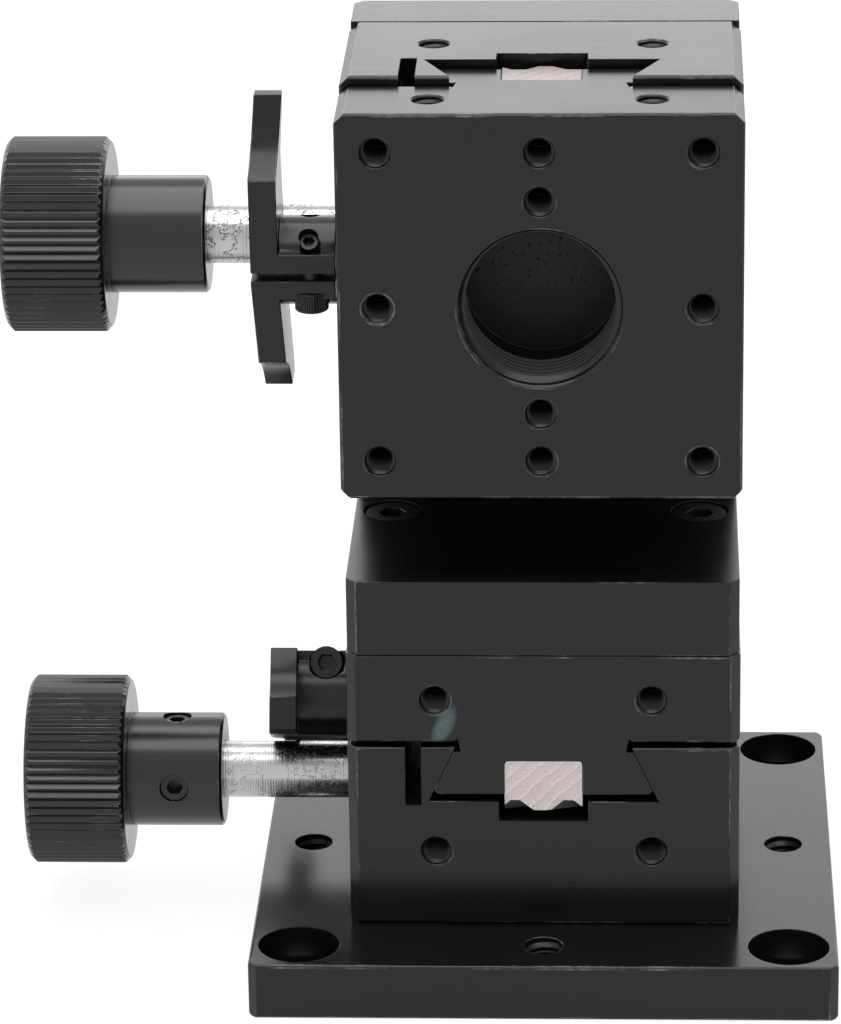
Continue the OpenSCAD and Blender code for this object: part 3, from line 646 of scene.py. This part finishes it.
def pattern_centres(mount):
    """Hole centres of a bolt pattern in the record, on the pattern's plane."""
    centre = Vector(mount["pos_m"])
    axis = Vector(mount["axis"])
    sides = [Vector(row) for row in Matrix.Identity(3) if abs(Vector(row).dot(axis)) < 0.5]
    dims = mount["dims"]
    if "pcd_mm" in dims:
        turns = [2 * math.pi * i / dims["count"] for i in range(dims["count"])]
        reach = dims["pcd_mm"] * MM / 2
        return [centre + reach * (math.cos(t) * sides[0] + math.sin(t) * sides[1]) for t in turns]
    steps = [dims.get(key, 0) * MM / 2 for key in ("spacing_x_mm", "spacing_y_mm")]
    centres = []
    for i in (-1, 1) if steps[0] else (0,):
        for j in (-1, 1) if steps[1] else (0,):
            centres.append(centre + i * steps[0] * sides[0] + j * steps[1] * sides[1])
    return centres


def cut_thread(group, mouth, axis, radius, pitch, depth, steps):
    """Adds the ridge of an internal thread: a trapezoid spun down the hole, run out at both ends."""
    bm = bmesh.new()
    root = radius + ROOT_SUNK * pitch
    crest = radius - RIDGE_HEIGHT * pitch
    side = Vector((0, -1, 0)) if abs(axis.z) > 0.5 else Vector((0, 0, 1))
    half_root, half_crest = HALF_ROOT * pitch, HALF_CREST * pitch
    outline = [(root, half_root), (crest, half_crest), (crest, -half_crest), (root, -half_root)]
    start = mouth - axis * half_root
    verts = [bm.verts.new(start + side * r + axis * a) for r, a in outline]
    edges = [bm.edges.new((verts[i - 1], verts[i])) for i in range(len(verts))]
    turns = (depth - 2 * half_root) / pitch
    count = round(turns * steps)
    made = bmesh.ops.spin(
        bm, geom=verts + edges, cent=mouth, axis=axis, dvec=-axis * pitch / steps,
        angle=2 * math.pi * count / steps, steps=count, use_merge=False, use_duplicate=False)
    last = [part for part in made["geom_last"] if isinstance(part, bmesh.types.BMEdge)]
    bmesh.ops.contextual_create(bm, geom=edges)
    bmesh.ops.contextual_create(bm, geom=last)
    for vert in bm.verts:
        down = (start - vert.co).dot(axis)
        out = (vert.co - start) + axis * down
        if out.length < root - 0.5 * RIDGE_HEIGHT * pitch:
            full = min(1, max(0, min(down, count * pitch / steps - down) / (RUN_OUT * pitch)))
            vert.co = start - axis * down + out.normalized() * (root - (root - crest) * full)
    bmesh.ops.remove_doubles(bm, verts=bm.verts, dist=MERGE)
    bmesh.ops.recalc_face_normals(bm, faces=bm.faces)
    if bm.calc_volume(signed=True) < 0:
        bmesh.ops.reverse_faces(bm, faces=bm.faces)
    ridge = bpy.data.meshes.new("thread_ridge")
    bm.to_mesh(ridge)
    bm.free()
    group.from_mesh(ridge)
    bpy.data.meshes.remove(ridge)


def add_thread(name, bm, body):
    add_piece(name, bm, body, [FINISHES["thread"]])


# Pieces

class STAGE_OT_plate(bpy.types.Operator):
    """Finish the base plate"""
    bl_idname = "stage.plate"
    bl_label = "Base Plate"

    def execute(self, context):
        dress("base_plate", context.scene.stage_edges.width)
        return {"FINISHED"}


class STAGE_OT_blocks(bpy.types.Operator):
    """Finish the dovetail bodies and sliders"""
    bl_idname = "stage.blocks"
    bl_label = "Dovetail Blocks"

    def execute(self, context):
        width = context.scene.stage_edges.width
        for node in both("body", "slider"):
            dress(node, width)
        return {"FINISHED"}


class STAGE_OT_bracket(bpy.types.Operator):
    """Finish the angle bracket"""
    bl_idname = "stage.bracket"
    bl_label = "Angle Bracket"

    def execute(self, context):
        dress("angle_bracket", context.scene.stage_edges.width)
        return {"FINISHED"}


class STAGE_OT_racks(bpy.types.Operator):
    """Finish the helical racks, rounding their back corners"""
    bl_idname = "stage.racks"
    bl_label = "Racks"

    def execute(self, context):
        edge = context.scene.stage_edges
        for node, travel, back in (("lower_rack", 1, (2, 1)), ("upper_rack", 2, (1, -1))):
            low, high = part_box(node)
            level = high[back[0]] if back[1] > 0 else low[back[0]]

            def round_back(bm, travel=travel, axis=back[0], level=level):
                long_edges = [
                    e for e in sharp_edges(bm, edge.sharp_angle)
                    if all(abs(v.co[axis] - level) < 0.01 * MM for v in e.verts)
                    and e.calc_length() > 4 * edge.rack_round
                    and abs((e.verts[0].co - e.verts[1].co).normalized()[travel]) > 0.99]
                break_edges(bm, long_edges, edge.rack_round, 4)

            dress(node, 0.6 * edge.width, 1, first=round_back)
        return {"FINISHED"}


class STAGE_OT_shafts(bpy.types.Operator):
    """Finish the pinion shafts, pinions, bushes and washers"""
    bl_idname = "stage.shafts"
    bl_label = "Shafts and Pinions"

    def execute(self, context):
        for node in both("pinion_shaft"):
            dress(node, 0.5 * context.scene.stage_edges.width)
        coat(*both("pinion", "knob_bush", "far_bush", "thrust_washers", "stop_pin"))
        return {"FINISHED"}


class STAGE_OT_knobs(bpy.types.Operator):
    """Finish the knurled knobs"""
    bl_idname = "stage.knobs"
    bl_label = "Knobs"

    def execute(self, context):
        for node in both("knob"):
            dress(node, context.scene.stage_edges.knurl_width, 1)
        return {"FINISHED"}


class STAGE_OT_levers(bpy.types.Operator):
    """Finish the lock levers and their screws"""
    bl_idname = "stage.levers"
    bl_label = "Lock Levers"

    def execute(self, context):
        width = context.scene.stage_edges.width
        for node in both("lever"):
            dress(node, context.scene.stage_edges.lever_width, 3)
        for node in both("lock_screw", "lever_set_screws"):
            dress(node, 0.6 * width, 1)
        for node in both("lever_clamp_screw"):
            dress(node, 0.6 * width, 1, last=self.knurl)
        return {"FINISHED"}

    def knurl(self, bm):
        """Sinks a groove into each facet of the screw head's side."""
        edge = bpy.context.scene.stage_edges
        longest = max(bm.edges, key=lambda e: e.calc_length())
        axis = (longest.verts[0].co - longest.verts[1].co).normalized()
        middle = sum((v.co for v in bm.verts), Vector()) / len(bm.verts)

        def reach(place):
            return ((place - middle) - axis * (place - middle).dot(axis)).length

        widest = max(reach(v.co) for v in bm.verts)
        sides = [
            f for f in bm.faces
            if abs(f.normal.dot(axis)) < 0.05 and reach(f.calc_center_median()) > 0.95 * widest]
        bmesh.ops.inset_individual(
            bm, faces=sides, thickness=edge.head_land, depth=-edge.head_groove, use_even_offset=True)


class STAGE_OT_screws(bpy.types.Operator):
    """Finish the assembly screws"""
    bl_idname = "stage.screws"
    bl_label = "Screws"

    def execute(self, context):
        width = context.scene.stage_edges.width
        for node in ("base_screws", "foot_screws", "wall_screws", *both("knob_screws", "bush_screws")):
            dress(node, 0.7 * width, 1)
        coat(*both("rack_screws"))
        return {"FINISHED"}


class STAGE_OT_threads(bpy.types.Operator):
    """Cut the threads of the tapped holes"""
    bl_idname = "stage.threads"
    bl_label = "Tapped Holes"

    def execute(self, context):
        t = context.scene.stage_threads
        groups = {
            "upper_face_threads": (
                "upper_carriage",
                ("face_corners", "face_sides", "face_uprights", "face_inner"), t.face_depth),
            "upper_slider_end_threads": ("upper_carriage", ("upper_slider_top",), t.end_depth),
            "upper_body_end_threads": ("lower_carriage", ("upper_body_top", "upper_body_under"), t.end_depth),
            "lower_slider_end_threads": ("lower_carriage", ("lower_slider_front",), t.end_depth),
            "lower_body_end_threads": ("base", ("lower_body_front", "lower_body_back"), t.end_depth),
        }
        for name, (body, mounts, depth) in groups.items():
            bm = bmesh.new()
            for mount in (MOUNTS[m] for m in mounts):
                axis = Vector(mount["axis"])
                for centre in pattern_centres(mount):
                    cut_thread(
                        bm, centre - axis * t.lead_in, axis, mount["dims"]["hole_r_mm"] * MM, t.m3_pitch,
                        depth - t.lead_in, t.steps)
            add_thread(name, bm, body)
        self.plate_threads(t)
        return {"FINISHED"}

    def plate_threads(self, t):
        mount = MOUNTS["base_tapped_ring"]
        axis = Vector(mount["axis"])
        low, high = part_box("base_plate")
        bm = bmesh.new()
        for centre in pattern_centres(mount):
            mouth = Vector((centre.x, centre.y, high.z)) - axis * t.lead_in
            depth = high.z - low.z - 2 * t.lead_in
            cut_thread(bm, mouth, axis, mount["dims"]["hole_r_mm"] * MM, t.m4_pitch, depth, t.steps)
        add_thread("plate_threads", bm, "base")


class STAGE_OT_bore(bpy.types.Operator):
    """Cut the thread of the large bore"""
    bl_idname = "stage.bore"
    bl_label = "Large Bore"

    def execute(self, context):
        t = context.scene.stage_threads
        mount = MOUNTS["face_socket"]
        axis = Vector(mount["axis"])
        face_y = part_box("upper_slider")[0].y
        mouth = Vector((mount["pos_m"][0], face_y, mount["pos_m"][2])) - axis * BORE_LEAD_INS * t.lead_in
        bm = bmesh.new()
        depth = t.bore_share * mount["dims"]["length_mm"] * MM
        cut_thread(bm, mouth, axis, mount["dims"]["r_mm"] * MM, t.bore_pitch, depth, t.bore_steps)
        add_thread("bore_thread", bm, "upper_carriage")
        return {"FINISHED"}


# Studio

def soft_box(name, box, power):
    """A rectangular lamp at its place from the object's middle, which it faces."""
    away, size = box
    lamp = bpy.data.lights.new(name, "AREA")
    lamp.shape = "RECTANGLE"
    lamp.size, lamp.size_y = size
    lamp.energy = power
    holder = bpy.data.objects.new(name, lamp)
    holder.location = (CAD_BOX[0] + CAD_BOX[1]) / 2 + away
    holder.rotation_euler = (-away).to_track_quat("-Z", "Y").to_euler()
    holder.visible_camera = False
    bpy.context.scene.collection.objects.link(holder)


def mix_shaders(g, factor, a, b):
    """Shader a where factor is 0, shader b where it is 1."""
    made = g.node("ShaderNodeMixShader", {}, {"Fac": factor})
    g.tree.links.new(a.outputs[0], made.inputs[1])
    g.tree.links.new(b.outputs[0], made.inputs[2])
    return made


def background_rays(g):
    """1 for the rays that show the background: the camera's, and those that metal and glass send on."""
    camera, glossy, passed = (
        g.add("ShaderNodeLightPath", out=name) for name in (
            "Is Camera Ray", "Is Glossy Ray", "Is Transmission Ray"))
    return camera.math("MAXIMUM", glossy).math("MAXIMUM", passed)


def grey(level):
    return (level, level, level, 1)


def floor_finish(s):
    """White paper: it lights the object plainly, and shows evened out with the object's shadow kept."""
    material, g = new_finish("white_paper")
    thin, thick = (grey(gain * (1 - s.paper_glow)) for gain in FIBRE_GAINS)
    evened = g.node("ShaderNodeBsdfPrincipled", {}, {
        "Base Color": g.blend(g.noise(900, 2), thin, thick), "Specular IOR Level": 0,
        "Emission Color": grey(1), "Emission Strength": s.paper_glow})
    x, y = g.along(0, 1)
    beside = x.math("ABSOLUTE").above(s.paper_side, 0.03)
    lit = g.blend(beside, grey(s.paper), grey(WHITE_FLOOR))
    paper = g.node("ShaderNodeBsdfPrincipled", {}, {
        "Base Color": g.blend(y.above(s.paper_front, 0.06), grey(DARK_FLOOR), lit),
        "Specular IOR Level": 0})
    g.surface(mix_shaders(g, background_rays(g), paper, evened))
    return material


class STAGE_OT_studio(bpy.types.Operator):
    """Set up the camera, floor, lamps and surroundings"""
    bl_idname = "stage.studio"
    bl_label = "Studio"

    def execute(self, context):
        s = context.scene.stage_studio
        self.camera(context, s)
        self.floor(context, s)
        soft_box("overhead_box", OVERHEAD_BOX, s.overhead_power)
        soft_box("back_box", BACK_BOX, s.back_power)
        self.surround(context, s)
        context.scene.view_settings.view_transform = "Standard"
        return {"FINISHED"}

    def camera(self, context, s):
        yaw, pitch, roll = s.camera_yaw, s.camera_pitch, s.camera_roll
        forward = Vector((math.sin(yaw) * math.cos(pitch), math.cos(yaw) * math.cos(pitch), -math.sin(pitch)))
        right = Vector((math.cos(yaw), -math.sin(yaw), 0))
        up = right.cross(forward)
        level_right = math.cos(roll) * right + math.sin(roll) * up
        level_up = math.cos(roll) * up - math.sin(roll) * right
        lens = bpy.data.cameras.new("photo_camera")
        lens.lens = s.focal_pixels / IMAGE_HEIGHT * lens.sensor_width
        lens.clip_start = 0.01
        holder = bpy.data.objects.new("photo_camera", lens)
        holder.matrix_world = Matrix.Translation(s.camera_place) @ Matrix(
            (level_right, level_up, -forward)).transposed().to_4x4()
        context.scene.collection.objects.link(holder)
        context.scene.camera = holder

    def floor(self, context, s):
        bm = bmesh.new()
        bmesh.ops.create_grid(bm, x_segments=1, y_segments=1, size=s.floor_size / 2)
        mesh = bpy.data.meshes.new("floor")
        bm.to_mesh(mesh)
        bm.free()
        mesh.materials.append(floor_finish(s))
        floor = bpy.data.objects.new("floor", mesh)
        context.scene.collection.objects.link(floor)

    def surround(self, context, s):
        """White where it shows, and a plain soft light from all round on the object."""
        world = bpy.data.worlds.new("white_surround")
        context.scene.world = world
        g = Graph(world)
        way = g.add("ShaderNodeTexCoord", out="Generated")
        x, y, z = (g.add("ShaderNodeSeparateXYZ", {}, {"Vector": way}, out=i) for i in (0, 1, 2))
        behind = (s.back_level - s.front_level) * y.above(0.3, 0.7) * (1 - s.back_fall * z.above(0.42, 0.12))
        beside = s.right_level * x.above(0.2, 0.6) + s.left_level * (0 - x).above(0.2, 0.5)
        level = s.front_level + behind + beside
        light = g.node("ShaderNodeBackground", {}, {"Color": g.add("ShaderNodeCombineColor", {}, {
            "Red": level, "Green": level, "Blue": level})})
        white = g.node("ShaderNodeBackground", {}, {"Color": grey(1)})
        shown = mix_shaders(g, background_rays(g), light, white)
        g.tree.links.new(shown.outputs[0], g.node("ShaderNodeOutputWorld").inputs["Surface"])


class STAGE_PT_panel(bpy.types.Panel):
    """Sizes, finishes and steps of the stage"""
    bl_idname = "STAGE_PT_panel"
    bl_label = "Dovetail Stage"
    bl_space_type = "VIEW_3D"
    bl_region_type = "UI"
    bl_category = "Stage"

    def draw(self, context):
        for group in GROUPS:
            settings = getattr(context.scene, group)
            box = self.layout.box()
            for name in settings.bl_rna.properties.keys():
                if name not in ("rna_type", "name"):
                    box.prop(settings, name)
        for step in STEPS:
            self.layout.operator(step.bl_idname)


GROUPS = {
    "stage_finish": FinishSettings,
    "stage_edges": EdgeSettings,
    "stage_threads": ThreadSettings,
    "stage_studio": StudioSettings,
}
STEPS = (
    STAGE_OT_studio, STAGE_OT_plate, STAGE_OT_blocks, STAGE_OT_bracket, STAGE_OT_racks, STAGE_OT_shafts,
    STAGE_OT_knobs, STAGE_OT_levers, STAGE_OT_screws, STAGE_OT_threads, STAGE_OT_bore,
)


def register():
    for cls in (*GROUPS.values(), *STEPS, STAGE_PT_panel):
        bpy.utils.register_class(cls)
    for name, cls in GROUPS.items():
        setattr(bpy.types.Scene, name, PointerProperty(type=cls))


def unregister():
    for name in GROUPS:
        delattr(bpy.types.Scene, name)
    for cls in reversed((*GROUPS.values(), *STEPS, STAGE_PT_panel)):
        bpy.utils.unregister_class(cls)


def main():
    register()
    FINISHES.update(make_finishes(bpy.context.scene.stage_finish))
    for step in STEPS:
        group, name = step.bl_idname.split(".")
        getattr(getattr(bpy.ops, group), name)()


if __name__ == "__main__":
    main()
